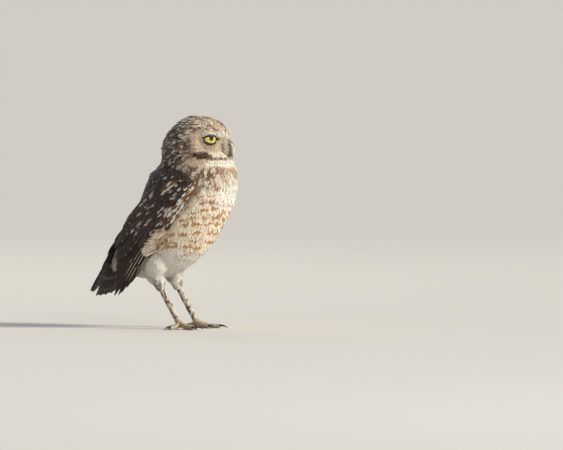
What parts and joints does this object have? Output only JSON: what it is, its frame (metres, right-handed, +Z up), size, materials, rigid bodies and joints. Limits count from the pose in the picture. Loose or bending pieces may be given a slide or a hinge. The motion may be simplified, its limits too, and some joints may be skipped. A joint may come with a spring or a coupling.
{
  "type": "burrowing owl",
  "caption": "Life-size still model of a burrowing owl standing upright on long legs, wings folded, tail clear of the floor.",
  "frame": {"origin": "on the floor under the middle of the bird's box, between its right and left sides", "axes": "+X the way the breast and the bill face, +Y the bird's left, +Z up"},
  "size_m": [0.1765, 0.099, 0.2385],
  "materials": {
    "head_feathers": "soft short feathers, buff and brown with pale flecks",
    "body_feathers": "soft feathers, cream with tawny spots",
    "wing_feathers": "stiff vanes, dark brown with pale spots",
    "tail_feathers": "stiff vanes, dark brown with pale bars",
    "leg_feathers": "soft short feathers, white",
    "leg_skin": "scaly skin with thin bristles",
    "claw": "polished dark horn",
    "bill": "smooth horn, olive with a pale yellow ridge",
    "eye": "wet and glossy, lemon yellow iris with a black pupil"
  },
  "bodies": {
    "root": {"head": "head_feathers", "neck": "head_feathers", "torso": "body_feathers", "bill_upper": "bill", "bill_lower": "bill", "tail": "tail_feathers", "eye_right": "eye", "wing_right": "wing_feathers", "thigh_right": "leg_feathers", "leg_right": "leg_skin", "foot_right": "leg_skin", "claw_right_inner": "claw", "claw_right_middle": "claw", "claw_right_outer": "claw", "claw_right_hind": "claw", "eye_left": "eye", "wing_left": "wing_feathers", "thigh_left": "leg_feathers", "leg_left": "leg_skin", "foot_left": "leg_skin", "claw_left_inner": "claw", "claw_left_middle": "claw", "claw_left_outer": "claw", "claw_left_hind": "claw"}
  },
  "joints": []
}
